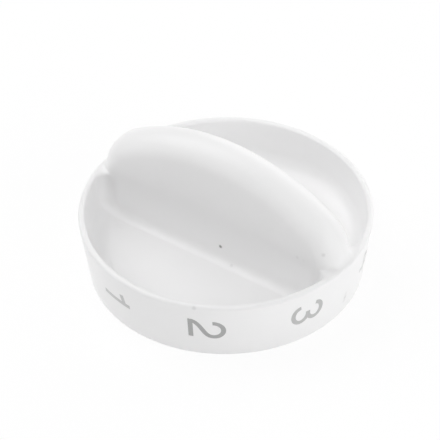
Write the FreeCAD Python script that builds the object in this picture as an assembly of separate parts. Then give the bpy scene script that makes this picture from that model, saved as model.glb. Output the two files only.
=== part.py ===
import FreeCAD, Part
import math
import os
from FreeCAD import Vector

# Oven control knob: a dished, flared skirt with an arched finger grip across it, moulded in one piece,
# and the steel leaf spring that holds it on the shaft. Millimetres.
# Origin: centre of the ring that the skirt stands on. +Z runs up the turning axis, the grip lies along X.

# Skirt, rim and dish
rim_radius = 27.5            # outside of the skirt at its top edge
base_radius = 25.75          # outside of the skirt where it stands
skirt_height = 12.95
skirt_wall = 1.3
rim_edge_radius = 0.55
foot_edge_chamfer = 0.3
floor_height = 4.3           # top of the dish floor above the base
floor_thickness = 1.8
dish_fillet = 3.7            # between the dish floor and its wall

# Shaft that the knob is pushed on to, with a flat along one side
shaft_diameter = 6.0
shaft_across_flat = 4.6
shaft_clearance = 0.05       # round and flat of the socket
mouth_clearance = 0.3        # round lead-in for the full shaft, below the flat
mouth_depth = 4.0
flat_depth = 10.0            # stretch of the socket that has the flat

# Finger grip
grip_height = 27.7           # crown of the ridge above the base
ridge_radius = 39.6          # arch of the ridge, seen from the side
ridge_corner_radius = 9.8   # ridge turning down into the ends
grip_end_setback = 1.0       # ends stand back from the outside of the skirt and follow its flare
socket_side_wall = 1.6       # plastic beside the shaft, at the dish floor
grip_draft = 1.5             # degrees, each side
ridge_land = 0.4             # strip left between the two rounded edges
grip_base_fillet = 1.8
grip_wall = 1.7              # beside the pockets that core the grip
pocket_crown_wall = 2.8      # from a pocket's top to the ridge
pocket_end_wall = 2.4        # from a pocket's end to the outside of the base

# Hub and ribs under the floor
hub_recess = 0.6             # hub stands short of the base
hub_wall = 1.6               # outside the spring slot
rib_thickness = 1.2
rib_recess = 0.9             # ribs stand short of the base
ribs_per_side = 3
rib_spacing = 45.0           # degrees

# Leaf spring in a slot behind the flat
spring_thickness = 0.4
spring_width = 2.6
spring_slot_play = 0.1       # each side of the leaf, and between leaf and round shaft
spring_proud = 0.2           # crown of the bow stands past the flat
spring_bend_radius = 2.0
spring_bow_radius = 5.5
foot_bend_radius = 0.3
foot_tip_setback = 0.2       # foot ends inside the hub's outline

# Sizes that follow
axis_z = Vector(0, 0, 1)
touch = 1e-4
floor_underside = floor_height - floor_thickness
floor_middle = floor_height - floor_thickness / 2
skirt_flare = math.atan2(rim_radius - base_radius, skirt_height)
ring_inner_radius = base_radius - skirt_wall
socket_radius = shaft_diameter / 2 + shaft_clearance
mouth_radius = shaft_diameter / 2 + mouth_clearance
flat_x = shaft_across_flat - shaft_diameter / 2 + shaft_clearance
flat_bottom = hub_recess + mouth_depth
slot_wall_x = mouth_radius + spring_slot_play + spring_thickness
slot_width = spring_width + 2 * spring_slot_play
hub_radius = slot_wall_x + hub_wall


def skirt_radius(z):
    return base_radius + z * math.tan(skirt_flare)


def half_width(z, inset=0.0):
    drawn_in = (z - floor_height) * math.tan(math.radians(grip_draft))
    return socket_radius + socket_side_wall - drawn_in - inset


def polygon_face(points):
    return Part.Face(Part.makePolygon(points + points[:1]))


def arc_edge(centre, radius, start, end):
    # arc in the XZ plane, angles counted from +X towards +Z
    def spot(angle):
        return centre + Vector(radius * math.cos(angle), 0, radius * math.sin(angle))
    return Part.Arc(spot(start), spot((start + end) / 2), spot(end)).toShape()


def circle_edges(shape, radius, z):
    circles = [edge for edge in shape.Edges if isinstance(edge.Curve, Part.Circle)]
    return [edge for edge in circles
            if abs(edge.Curve.Radius - radius) < touch and abs(edge.Curve.Center.z - z) < touch]


def edge_points(edge):
    return edge.discretize(5)


def dished_skirt():
    # half section turned about the axis: outside cone, rim, dish wall and floor, then the hollow below
    # it is drawn in the YZ plane, so that no seam of the turned faces lies under the grip's ends
    section = polygon_face([
        Vector(0, base_radius, 0),
        Vector(0, rim_radius, skirt_height),
        Vector(0, rim_radius - skirt_wall, skirt_height),
        Vector(0, skirt_radius(floor_height) - skirt_wall, floor_height),
        Vector(0, 0, floor_height),
        Vector(0, 0, floor_underside),
        Vector(0, ring_inner_radius, floor_underside),
        Vector(0, ring_inner_radius, 0)])
    skirt = section.revolve(Vector(), axis_z, 360)
    corner = circle_edges(skirt, skirt_radius(floor_height) - skirt_wall, floor_height)
    skirt = skirt.makeFillet(dish_fillet, corner)
    rim = circle_edges(skirt, rim_radius, skirt_height)
    rim += circle_edges(skirt, rim_radius - skirt_wall, skirt_height)
    skirt = skirt.makeFillet(rim_edge_radius, rim)
    return skirt.makeChamfer(foot_edge_chamfer, circle_edges(skirt, base_radius, 0))


def grip_side_view(foot_reach, flare, inset, bottom):
    # arched outline in the XZ plane: ridge arc, a tangent corner at each end, ends that lean out by the flare
    ridge = ridge_radius - inset
    corner = ridge_corner_radius - inset
    ridge_z = grip_height - ridge_radius
    across = Vector(math.cos(flare), 0, -math.sin(flare))
    along = Vector(math.sin(flare), 0, math.cos(flare))
    inward = foot_reach * math.cos(flare) - corner
    rise = math.sqrt((ridge - corner) ** 2 - (inward + ridge_z * math.sin(flare)) ** 2)
    corner_centre = across * inward + along * (ridge_z * math.cos(flare) + rise)
    lean = math.atan2(corner_centre.z - ridge_z, corner_centre.x)
    foot = foot_reach + bottom * math.tan(flare)
    right = arc_edge(corner_centre, corner, -flare, lean)
    left = arc_edge(Vector(-corner_centre.x, 0, corner_centre.z), corner, math.pi - lean, math.pi + flare)
    edges = [
        right,
        arc_edge(Vector(0, 0, ridge_z), ridge, lean, math.pi - lean),
        left,
        Part.makeLine(left.lastVertex(True).Point, Vector(-foot, 0, bottom)),
        Part.makeLine(Vector(-foot, 0, bottom), Vector(foot, 0, bottom)),
        Part.makeLine(Vector(foot, 0, bottom), right.firstVertex(True).Point)]
    return Part.Face(Part.Wire(edges))


def grip_block(outline, side_inset, bottom):
    # the outline pushed across and cut to the drafted sides
    widest = half_width(bottom)
    block = outline.extrude(Vector(0, 4 * widest, 0))
    block.translate(Vector(0, -2 * widest, 0))
    above = grip_height + skirt_wall
    low = half_width(bottom, side_inset)
    high = half_width(above, side_inset)
    beyond = 2 * rim_radius
    sides = polygon_face([
        Vector(-beyond, -low, bottom),
        Vector(-beyond, low, bottom),
        Vector(-beyond, high, above),
        Vector(-beyond, -high, above)])
    return block.common(sides.extrude(Vector(2 * beyond, 0, 0)))


def finger_grip():
    # both long edges are rounded from end to end, over the ridge, nearly to a full round
    outline = grip_side_view(base_radius - grip_end_setback, skirt_flare, 0.0, floor_middle)
    block = grip_block(outline, 0.0, floor_middle)
    long_edges = []
    for edge in block.Edges:
        points = edge_points(edge)
        on_side = all(abs(abs(p.y) - half_width(p.z)) < touch for p in points)
        if on_side and max(p.z for p in points) > floor_middle + touch:
            long_edges.append(edge)
    return block.makeFillet(half_width(grip_height) - ridge_land / 2, long_edges)


def blended(skirt, grip):
    # one fillet runs round the grip where it meets the floor, the dish wall and the rim
    joined = skirt.fuse(grip).removeSplitter().Solids[0]
    skins = [skirt.Shells[0], grip.Shells[0]]

    def on_both(edge):
        spots = [Part.Vertex(p) for p in edge_points(edge)]
        return all(skin.distToShape(spot)[0] < touch for skin in skins for spot in spots)
    return joined.makeFillet(grip_base_fillet, [edge for edge in joined.Edges if on_both(edge)])


def hub_column(bottom, top):
    return Part.makeCylinder(hub_radius, top - bottom, Vector(0, 0, bottom), axis_z)


def grip_pockets():
    # the grip is cored from below on both sides of the hub
    bottom = floor_underside - floor_thickness
    outline = grip_side_view(base_radius - pocket_end_wall, 0.0, pocket_crown_wall, bottom)
    core = grip_block(outline, grip_wall, bottom)
    return core.cut(hub_column(floor_underside - 2 * floor_thickness, grip_height))


def ribs():
    inner = hub_radius - rib_thickness
    length = ring_inner_radius + skirt_wall / 2 - inner
    made = []
    for side in (90, 270):
        for step in range(ribs_per_side):
            turn = side + (step - (ribs_per_side - 1) / 2) * rib_spacing
            rib = Part.makeBox(length, rib_thickness, floor_middle - rib_recess,
                               Vector(inner, -rib_thickness / 2, rib_recess))
            rib.rotate(Vector(), axis_z, turn)
            made.append(rib)
    return made


def shaft_socket():
    # round mouth, then the stretch with a flat, and the spring's slot behind the flat
    start = Vector(0, 0, hub_recess)
    mouth = Part.makeCylinder(mouth_radius, mouth_depth, start, axis_z)
    deep = Part.makeCylinder(socket_radius, mouth_depth + flat_depth, start, axis_z)
    beyond_flat = Part.makeBox(socket_radius, 2 * socket_radius, flat_depth,
                               Vector(flat_x, -socket_radius, flat_bottom))
    slot = Part.makeBox(slot_wall_x, slot_width, mouth_depth + flat_depth, Vector(0, -slot_width / 2, hub_recess))
    relief = polygon_face([
        Vector(slot_wall_x, -slot_width / 2, hub_recess),
        Vector(slot_wall_x + foot_bend_radius, -slot_width / 2, hub_recess),
        Vector(slot_wall_x, -slot_width / 2, hub_recess + foot_bend_radius)]).extrude(Vector(0, slot_width, 0))
    return deep.cut(beyond_flat).fuse([mouth, slot, relief])


def knob_body():
    body = blended(dished_skirt(), finger_grip())
    body = body.cut(grip_pockets())
    body = body.fuse([hub_column(hub_recess, floor_middle)] + ribs())
    return body.cut(shaft_socket()).removeSplitter()


def spring_side(off):
    # one side of the bent strip, off millimetres from the face that lies against the slot
    tail_x = slot_wall_x - off
    foot_z = hub_recess - off
    crown_x = flat_x - spring_proud + spring_thickness
    bow = math.acos(1 - (slot_wall_x - crown_x) / (spring_bend_radius + spring_bow_radius))
    foot_centre = Vector(slot_wall_x + foot_bend_radius, 0, hub_recess + foot_bend_radius)
    bend_centre = Vector(slot_wall_x - spring_bend_radius, 0, flat_bottom)
    to_bow = Vector(math.cos(bow), 0, math.sin(bow)) * (spring_bend_radius + spring_bow_radius)
    return [
        Part.makeLine(Vector(hub_radius - foot_tip_setback, 0, foot_z), Vector(foot_centre.x, 0, foot_z)),
        arc_edge(foot_centre, foot_bend_radius + off, 1.5 * math.pi, math.pi),
        Part.makeLine(Vector(tail_x, 0, foot_centre.z), Vector(tail_x, 0, flat_bottom)),
        arc_edge(bend_centre, spring_bend_radius - off, 0, bow),
        arc_edge(bend_centre + to_bow, spring_bow_radius + off, math.pi + bow, math.pi - bow)]


def shaft_spring():
    back = spring_side(0.0)
    front = spring_side(spring_thickness)
    foot_end = Part.makeLine(back[0].firstVertex(True).Point, front[0].firstVertex(True).Point)
    tip_end = Part.makeLine(back[-1].lastVertex(True).Point, front[-1].lastVertex(True).Point)
    outline = Part.Wire(Part.__sortEdges__(back + front + [foot_end, tip_end]))
    strip = Part.Face(outline).extrude(Vector(0, spring_width, 0))
    strip.translate(Vector(0, -spring_width / 2, 0))
    return strip


os.makedirs("parts", exist_ok=True)
knob_body().exportStep("parts/knob_body.step")
shaft_spring().exportStep("parts/shaft_spring.step")
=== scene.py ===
import bpy
import math
from mathutils import Matrix, Vector


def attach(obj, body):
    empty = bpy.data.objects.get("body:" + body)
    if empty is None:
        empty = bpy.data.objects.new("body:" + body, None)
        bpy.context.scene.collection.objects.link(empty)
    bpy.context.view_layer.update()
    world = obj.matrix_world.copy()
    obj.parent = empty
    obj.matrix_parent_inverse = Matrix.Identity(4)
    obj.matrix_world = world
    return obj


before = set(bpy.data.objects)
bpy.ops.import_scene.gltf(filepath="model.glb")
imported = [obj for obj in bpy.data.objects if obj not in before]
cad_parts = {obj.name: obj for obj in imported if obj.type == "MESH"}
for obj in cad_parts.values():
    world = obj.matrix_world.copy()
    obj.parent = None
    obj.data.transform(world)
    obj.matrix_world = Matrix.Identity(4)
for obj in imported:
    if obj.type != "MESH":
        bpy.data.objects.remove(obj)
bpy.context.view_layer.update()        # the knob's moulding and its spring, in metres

mm = 0.001
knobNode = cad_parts["knob_body"]
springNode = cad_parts["shaft_spring"]
scene = bpy.context.scene
scene.view_settings.view_transform = "Standard"


def deselectAll():
    bpy.ops.object.select_all(action="DESELECT")


def pickOnly(piece):
    deselectAll()
    piece.select_set(True)
    bpy.context.view_layer.objects.active = piece


def applyModifiers(piece):
    pickOnly(piece)
    for modifier in list(piece.modifiers):
        bpy.ops.object.modifier_apply(modifier=modifier.name)


def newMaterial(name):
    material = bpy.data.materials.new(name)
    material.use_nodes = True
    return material, material.node_tree.nodes, material.node_tree.links


def wear(piece, material):
    piece.data.materials.clear()
    piece.data.materials.append(material)


# nodes that several finishes use; each function gives the socket that holds its result
def noiseOf(nodes, links, place, size, detail):
    noise = nodes.new("ShaderNodeTexNoise")
    noise.inputs["Scale"].default_value = 1.0 / size
    noise.inputs["Detail"].default_value = detail
    links.new(place, noise.inputs["Vector"])
    return noise.outputs["Fac"]


def mathOf(nodes, links, operation, first, second):
    result = nodes.new("ShaderNodeMath")
    result.operation = operation
    links.new(first, result.inputs[0])
    links.new(second, result.inputs[1])
    return result.outputs["Value"]


def rangeOf(nodes, links, value, low, high):
    spread = nodes.new("ShaderNodeMapRange")
    spread.inputs["To Min"].default_value = low
    spread.inputs["To Max"].default_value = high
    links.new(value, spread.inputs["Value"])
    return spread.outputs["Result"]


def twoTones(nodes, links, share, first, second):
    tone = nodes.new("ShaderNodeMix")
    tone.data_type = "RGBA"
    tone.inputs["A"].default_value = (*first, 1.0)
    tone.inputs["B"].default_value = (*second, 1.0)
    links.new(share, tone.inputs["Factor"])
    return tone.outputs["Result"]


# moulded plastic
plasticLook = {
    "colour": (0.902, 0.9, 0.902),
    "shade": (0.882, 0.88, 0.882),     # thicker and thinner spots of the moulding
    "cloudSize": 9.0,                  # mm, slow changes of tone
    "cloudDetail": 3.0,
    "roughness": (0.29, 0.36),
    "ior": 1.5,
    "peelSize": 1.1,                   # mm, slight waviness of a moulded gloss
    "peelDetail": 1.0,
    "peelHeight": 0.004,               # mm
    # dark colour of the specks of dirt, also painted into the upright corners as shade
    "dirtAndShade": (0.17, 0.165, 0.155),
    "corner": (23.3, 4.45),            # mm, upright corners between the grip and the dish wall
    "cornerShade": (2.0, 0.06),         # reach in mm, share of the dark colour painted there as corner shade
    "cornerShadeHeights": (4.5, 8.0, 11.0, 13.6),   # mm, the painted corner shade fades in over the first two and out over the last two
    "markCore": 0.2,                  # part of each round mark's reach that is evenly dark, specks and painted corner shade alike
    "specks": [                        # mm from the base's centre, reach in mm, share of dirt
        ((1.98, -4.56, 7.83), 0.5, 0.92),
        ((19.05, -4.4, 13.68), 0.5, 0.09),
        ((20.42, -4.41, 13.62), 0.4, 0.04),
        ((24.15, -3.55, 16.2), 0.55, 0.16),
        ((4.8, -5.06, 4.91), 0.5, 0.14),
        ((10.92, -25.11, 12.6), 0.6, 0.17),
        ((26.37, 0.74, 4.7), 0.7, 0.1),
        ((26.24, 0.66, 3.85), 0.75, 0.21),
        ((26.12, 0.5, 3.1), 0.7, 0.12),
    ],
}


def smoothFade(nodes, links, value, start, end, first=0.0, last=1.0):
    fade = nodes.new("ShaderNodeMapRange")
    fade.interpolation_type = "SMOOTHSTEP"
    fade.inputs["From Min"].default_value = start * mm
    fade.inputs["From Max"].default_value = end * mm
    fade.inputs["To Min"].default_value = first
    fade.inputs["To Max"].default_value = last
    links.new(value, fade.inputs["Value"])
    return fade.outputs["Result"]


def roundMask(nodes, links, place, centre, reach, share):
    away = nodes.new("ShaderNodeVectorMath")
    away.operation = "DISTANCE"
    away.inputs[1].default_value = Vector(centre) * mm
    links.new(place, away.inputs[0])
    core = plasticLook["markCore"] * reach
    return smoothFade(nodes, links, away.outputs["Value"], core, reach, share, 0.0)


# painted shade in the four upright corners, a darker base colour where the grip meets the dish wall: x
# and y lose their signs, so one corner stands for all
def cornerShadeMask(nodes, links, place):
    quarter = nodes.new("ShaderNodeVectorMath")
    quarter.operation = "ABSOLUTE"
    links.new(place, quarter.inputs[0])
    plan = nodes.new("ShaderNodeVectorMath")
    plan.operation = "MULTIPLY"
    plan.inputs[1].default_value = (1, 1, 0)
    links.new(quarter.outputs["Vector"], plan.inputs[0])
    reach, share = plasticLook["cornerShade"]
    paintedShade = roundMask(nodes, links, plan.outputs["Vector"], (*plasticLook["corner"], 0), reach, share)
    height = nodes.new("ShaderNodeSeparateXYZ")
    links.new(place, height.inputs["Vector"])
    low, lowFull, highFull, high = plasticLook["cornerShadeHeights"]
    for start, end in ((low, lowFull), (high, highFull)):
        fade = smoothFade(nodes, links, height.outputs["Z"], start, end)
        paintedShade = mathOf(nodes, links, "MULTIPLY", paintedShade, fade)
    return paintedShade


# specks of dirt, together with the painted shade in the upright corners
def dirtAndCornerShade(nodes, links, place):
    dirtAndShade = cornerShadeMask(nodes, links, place)
    for speck in plasticLook["specks"]:
        mask = roundMask(nodes, links, place, *speck)
        dirtAndShade = mathOf(nodes, links, "MAXIMUM", dirtAndShade, mask)
    return dirtAndShade


def whitePlastic():
    material, nodes, links = newMaterial("whitePlastic")
    shader = nodes["Principled BSDF"]
    shader.inputs["IOR"].default_value = plasticLook["ior"]
    place = nodes.new("ShaderNodeTexCoord").outputs["Object"]
    cloud = noiseOf(nodes, links, place, plasticLook["cloudSize"] * mm, plasticLook["cloudDetail"])
    tone = twoTones(nodes, links, cloud, plasticLook["shade"], plasticLook["colour"])
    # the dark colour goes on at the specks of dirt and, as painted shade, in the upright corners
    dirtyAndShaded = nodes.new("ShaderNodeMix")
    dirtyAndShaded.data_type = "RGBA"
    dirtyAndShaded.inputs["B"].default_value = (*plasticLook["dirtAndShade"], 1.0)
    links.new(tone, dirtyAndShaded.inputs["A"])
    links.new(dirtAndCornerShade(nodes, links, place), dirtyAndShaded.inputs["Factor"])
    links.new(dirtyAndShaded.outputs["Result"], shader.inputs["Base Color"])
    links.new(rangeOf(nodes, links, cloud, *plasticLook["roughness"]), shader.inputs["Roughness"])
    peel = noiseOf(nodes, links, place, plasticLook["peelSize"] * mm, plasticLook["peelDetail"])
    bump = nodes.new("ShaderNodeBump")
    bump.inputs["Strength"].default_value = 1.0
    bump.inputs["Distance"].default_value = plasticLook["peelHeight"] * mm
    links.new(peel, bump.inputs["Height"])
    links.new(bump.outputs["Normal"], shader.inputs["Normal"])
    return material


wear(knobNode, whitePlastic())
print("knob body dressed")


# rolled steel strip of the spring
steelLook = {
    "colour": (0.56, 0.57, 0.58),
    "streak": (0.47, 0.48, 0.49),
    "streakSize": (0.08, 0.08, 3.0),   # mm across, across and along the strip
    "streakDetail": 2.0,
    "roughness": (0.3, 0.42),
}


def springSteel():
    material, nodes, links = newMaterial("springSteel")
    shader = nodes["Principled BSDF"]
    shader.inputs["Metallic"].default_value = 1.0
    place = nodes.new("ShaderNodeTexCoord").outputs["Object"]
    stretch = nodes.new("ShaderNodeMapping")
    stretch.inputs["Scale"].default_value = [1.0 / (size * mm) for size in steelLook["streakSize"]]
    links.new(place, stretch.inputs["Vector"])
    streaks = noiseOf(nodes, links, stretch.outputs["Vector"], 1.0, steelLook["streakDetail"])
    tone = twoTones(nodes, links, streaks, steelLook["streak"], steelLook["colour"])
    links.new(tone, shader.inputs["Base Color"])
    links.new(rangeOf(nodes, links, streaks, *steelLook["roughness"]), shader.inputs["Roughness"])
    return material


wear(springNode, springSteel())
print("spring dressed")


# numbers printed round the skirt, each turned a quarter clockwise as seen from outside
dialPrint = {
    "height": 6.85,                    # mm, as the next four
    "width": 4.9,
    "stroke": 0.9,
    "film": 0.02,                      # ink that stands on the plastic
    "sunk": 0.04,                      # ink below the true cone, so no facet shows through
    "middle": 7.2,                     # mm above the table
    "coneHeights": (2.0, 10.0),        # mm above the table, where the skirt's slope is read
    "lineStep": 0.3,                   # mm
    "arcStep": 6.0,                    # degrees
    "swingSteps": 16,
    "weld": 0.0001,                    # mm, points this close become one
    "numbers": {                       # turn in degrees, tone of the ink, which covers unevenly
        "0": (180.0, 0.49),
        "1": (-102.9, 0.56),
        "2": (-62.0, 0.4),
        "3": (-21.1, 0.49),
        "4": (20.2, 0.66),
        "5": (60.7, 0.47),
        "6": (101.6, 0.51),
    },
    "grain": 0.94,                     # tone of the thickest ink against the mean
    "grainSize": 0.25,                 # mm
    "grainDetail": 2.0,
    "roughness": 0.3,
}


def lineOf(start, end):
    steps = max(2, round(math.dist(start, end) / dialPrint["lineStep"]))
    return [tuple(a + (b - a) * step / steps for a, b in zip(start, end)) for step in range(steps + 1)]


def arcOf(centre, radii, start, end):
    steps = max(3, round(abs(end - start) / dialPrint["arcStep"]))
    angles = [math.radians(start + (end - start) * step / steps) for step in range(steps + 1)]
    return [(centre[0] + radii[0] * math.cos(angle), centre[1] + radii[1] * math.sin(angle))
            for angle in angles]


# smooth swing from the first point to the last, pulled by the two between
def swingOf(*pulls):
    path = []
    for step in range(dialPrint["swingSteps"] + 1):
        t = step / dialPrint["swingSteps"]
        share = ((1 - t) ** 3, 3 * t * (1 - t) ** 2, 3 * t * t * (1 - t), t ** 3)
        path.append(tuple(sum(s * pull[axis] for s, pull in zip(share, pulls)) for axis in (0, 1)))
    return path


# middle lines of the strokes, in mm from each number's lower left corner
numberStrokes = {
    "0": [arcOf((2.45, 3.42), (2.0, 3.01), 0, 360)],
    "1": [lineOf((2.95, 0.0), (2.95, 6.85)),
          lineOf((2.95, 5.5), (0.7, 5.05))],
    "2": [arcOf((2.65, 4.64), (1.85, 1.8), 185, -30)
          + swingOf((4.252, 3.74), (3.55, 2.6), (0.75, 2.2), (0.42, 0.42))[1:],
          lineOf((0.05, 0.41), (4.85, 0.41))],
    "3": [arcOf((2.4, 1.95), (1.95, 1.54), 183, 450),
          arcOf((2.4, 4.95), (1.85, 1.46), 175, -90),
          lineOf((2.0, 3.49), (2.9, 3.49))],
    "4": [lineOf((3.5, 0.0), (3.5, 6.85)),
          lineOf((3.54, 6.58), (0.78, 2.1)),
          lineOf((0.35, 1.95), (4.85, 1.95))],
    "5": [lineOf((0.95, 6.44), (4.45, 6.44)),
          lineOf((1.1, 6.8), (0.75, 3.2)),
          arcOf((2.45, 2.3), (1.95, 1.88), 150, -163)],
    "6": [arcOf((2.5, 2.2), (1.95, 1.79), 0, 360),
          swingOf((0.56, 2.2), (0.5, 4.6), (2.0, 6.1), (3.7, 6.75))],
}


# flat band along the path, one unit thick until it is wrapped
def inkStroke(path):
    curve = bpy.data.curves.new("inkStroke", "CURVE")
    curve.dimensions = "3D"
    curve.extrude = dialPrint["stroke"] / 2
    closed = math.dist(path[0], path[-1]) < dialPrint["weld"]
    spline = curve.splines.new("POLY")
    spline.use_cyclic_u = closed
    points = path[:-1] if closed else path
    spline.points.add(len(points) - 1)
    for point, place in zip(spline.points, points):
        point.co = (*place, 0.0, 1.0)
        point.tilt = math.pi / 2
    stroke = bpy.data.objects.new("inkStroke", curve)
    scene.collection.objects.link(stroke)
    pickOnly(stroke)
    bpy.ops.object.convert(target="MESH")
    stroke = bpy.context.object
    band = stroke.modifiers.new("band", "SOLIDIFY")
    band.thickness = 1.0
    band.offset = 0.0
    applyModifiers(stroke)
    return stroke


def skirtRadius(height):
    place = knobNode.ray_cast(Vector((0, -1, height * mm)), Vector((0, 1, 0)))[1]
    return math.hypot(place.x, place.y) / mm


def wrapOnSkirt(number, middleAngle):
    low, high = dialPrint["coneHeights"]
    lean = (skirtRadius(high) - skirtRadius(low)) / (high - low)
    middleRadius = skirtRadius(low) + lean * (dialPrint["middle"] - low)
    slope = math.atan(lean)
    for vertex in number.data.vertices:
        across = dialPrint["width"] / 2 - vertex.co.x
        lift = dialPrint["film"] if vertex.co.z > 0 else -dialPrint["sunk"]
        radius = middleRadius + across * math.sin(slope) + lift * math.cos(slope)
        angle = math.radians(middleAngle) + (vertex.co.y - dialPrint["height"] / 2) / middleRadius
        height = dialPrint["middle"] + across * math.cos(slope) - lift * math.sin(slope)
        vertex.co = Vector((radius * math.cos(angle), radius * math.sin(angle), height)) * mm


def printedNumber(name):
    number, *others = [inkStroke(path) for path in numberStrokes[name]]
    rest = bpy.data.collections.new("otherStrokes")
    for stroke in others:
        rest.objects.link(stroke)
    union = number.modifiers.new("union", "BOOLEAN")
    union.operation = "UNION"
    union.solver = "EXACT"
    union.operand_type = "COLLECTION"
    union.collection = rest            # all at once, so that no edge stays open
    applyModifiers(number)
    for stroke in others:
        bpy.data.objects.remove(stroke)
    bpy.data.collections.remove(rest)
    turn, ink = dialPrint["numbers"][name]
    wrapOnSkirt(number, turn)
    tone = number.data.attributes.new("inkTone", "FLOAT", "POINT")
    for value in tone.data:
        value.value = ink
    return number


def inkMaterial():
    material, nodes, links = newMaterial("dialInk")
    shader = nodes["Principled BSDF"]
    shader.inputs["Roughness"].default_value = dialPrint["roughness"]
    place = nodes.new("ShaderNodeTexCoord").outputs["Object"]
    grain = noiseOf(nodes, links, place, dialPrint["grainSize"] * mm, dialPrint["grainDetail"])
    cover = rangeOf(nodes, links, grain, dialPrint["grain"], 2.0 - dialPrint["grain"])
    tone = nodes.new("ShaderNodeAttribute")
    tone.attribute_name = "inkTone"
    links.new(mathOf(nodes, links, "MULTIPLY", tone.outputs["Fac"], cover), shader.inputs["Base Color"])
    return material


def dialNumbers():
    numbers = [printedNumber(name) for name in dialPrint["numbers"]]
    deselectAll()
    for number in numbers:
        number.select_set(True)
    bpy.context.view_layer.objects.active = numbers[0]
    bpy.ops.object.join()
    ring = bpy.context.object
    ring.name = "dialNumbers"
    bpy.ops.object.mode_set(mode="EDIT")
    bpy.ops.mesh.select_all(action="SELECT")
    bpy.ops.mesh.remove_doubles(threshold=dialPrint["weld"] * mm)
    bpy.ops.mesh.normals_make_consistent(inside=False)
    bpy.ops.object.mode_set(mode="OBJECT")
    bpy.ops.object.shade_flat()
    wear(ring, inkMaterial())
    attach(ring, "root")


dialNumbers()
print("numbers printed")


# white studio: paper floor that looks white, with a trace of the knob's shadow
studio = {
    "floorRadius": 1.1,                # m, ends before the lamps
    "floorSides": 96,
    "floorColour": (0.85, 0.85, 0.85, 1.0),
    "floorRoughness": 0.9,
    "shadowShare": 0.12,
    "tableGlow": 0.167,                # light table under the paper
    "wallLight": 0.178,                # even light from all round
    "white": (1.0, 1.0, 1.0, 1.0),
    "lampDistance": 1.2,               # m
    "lamps": {                         # turn and height in degrees, width in metres, watts
        "backLamp": (90, 18, 1.7, 7.7),
        "leftLamp": (225, 18, 1.3, 2.7),
        "leftHighLamp": (180, 52, 1.3, 8.1),
        "rightLamp": (0, 18, 1.3, 7.1),
        "frontLamp": (315, 52, 1.3, 2.9),
    },
}


# rays that show the white background instead of the studio's light
def sightRays(nodes, links):
    ray = nodes.new("ShaderNodeLightPath")
    sight = ray.outputs["Is Camera Ray"]
    for kind in ("Is Glossy Ray", "Is Transmission Ray"):
        sight = mathOf(nodes, links, "MAXIMUM", sight, ray.outputs[kind])
    return sight


def studioFloor():
    deselectAll()
    bpy.ops.mesh.primitive_circle_add(vertices=studio["floorSides"], radius=studio["floorRadius"],
                                      fill_type="NGON", location=(0, 0, 0))
    floor = bpy.context.object
    floor.name = "studioFloor"
    material, nodes, links = newMaterial("floorPaper")
    shader = nodes["Principled BSDF"]
    shader.inputs["Base Color"].default_value = studio["floorColour"]
    shader.inputs["Roughness"].default_value = studio["floorRoughness"]
    shader.inputs["Emission Color"].default_value = studio["white"]
    shader.inputs["Emission Strength"].default_value = studio["tableGlow"]
    white = nodes.new("ShaderNodeEmission")
    share = nodes.new("ShaderNodeMath")
    share.operation = "MULTIPLY"
    share.inputs[1].default_value = 1.0 - studio["shadowShare"]
    links.new(sightRays(nodes, links), share.inputs[0])
    blend = nodes.new("ShaderNodeMixShader")
    links.new(share.outputs["Value"], blend.inputs["Fac"])
    links.new(shader.outputs["BSDF"], blend.inputs[1])
    links.new(white.outputs["Emission"], blend.inputs[2])
    links.new(blend.outputs["Shader"], nodes["Material Output"].inputs["Surface"])
    wear(floor, material)


def studioWorld():
    world = bpy.data.worlds.new("studioWorld")
    scene.world = world
    world.use_nodes = True
    nodes, links = world.node_tree.nodes, world.node_tree.links
    light = nodes["Background"]
    light.inputs["Color"].default_value = studio["white"]
    light.inputs["Strength"].default_value = studio["wallLight"]
    white = nodes.new("ShaderNodeBackground")
    white.inputs["Color"].default_value = studio["white"]
    blend = nodes.new("ShaderNodeMixShader")
    links.new(sightRays(nodes, links), blend.inputs["Fac"])
    links.new(light.outputs["Background"], blend.inputs[1])
    links.new(white.outputs["Background"], blend.inputs[2])
    links.new(blend.outputs["Shader"], nodes["World Output"].inputs["Surface"])


def studioLamp(name, turn, height, width, power):
    turn, height = math.radians(turn), math.radians(height)
    reach = math.cos(height)
    toLamp = Vector((math.cos(turn) * reach, math.sin(turn) * reach, math.sin(height)))
    deselectAll()
    bpy.ops.object.light_add(type="AREA", location=toLamp * studio["lampDistance"])
    lamp = bpy.context.object
    lamp.name = name
    lamp.rotation_euler = toLamp.to_track_quat("Z", "Y").to_euler()
    lamp.data.shape = "DISK"
    lamp.data.size = width
    lamp.data.energy = power


studioFloor()
studioWorld()
for lampName, settings in studio["lamps"].items():
    studioLamp(lampName, *settings)
print("studio ready")


# camera of the photograph: looks down near the rim's centre with a long lens
photoView = {
    "turn": 36.0,                      # degrees, as the next two
    "height": 40.71,
    "roll": -0.885,
    "distance": 495.0,                 # mm
    "aimHeight": 12.64,                # mm
    "lens": 218.2,                     # mm
    "sensor": 36.0,                    # mm
    "shift": (-0.01302, -0.02341),     # of the picture's width
    "nearest": 10.0,                   # mm
}


def photoCamera():
    turn, height = math.radians(photoView["turn"]), math.radians(photoView["height"])
    aim = Vector((0, 0, photoView["aimHeight"] * mm))
    stand = (Matrix.Rotation(turn, 3, "Z") @ Matrix.Rotation(math.pi / 2 - height, 3, "X")
             @ Matrix.Rotation(math.radians(photoView["roll"]), 3, "Z"))
    deselectAll()
    bpy.ops.object.camera_add()
    camera = bpy.context.object
    camera.name = "photoCamera"
    camera.location = aim + stand @ Vector((0, 0, photoView["distance"] * mm))
    camera.rotation_euler = stand.to_euler()
    camera.data.sensor_width = photoView["sensor"]
    camera.data.lens = photoView["lens"]
    camera.data.shift_x, camera.data.shift_y = photoView["shift"]
    camera.data.clip_start = photoView["nearest"] * mm
    scene.camera = camera


photoCamera()
print("camera set")
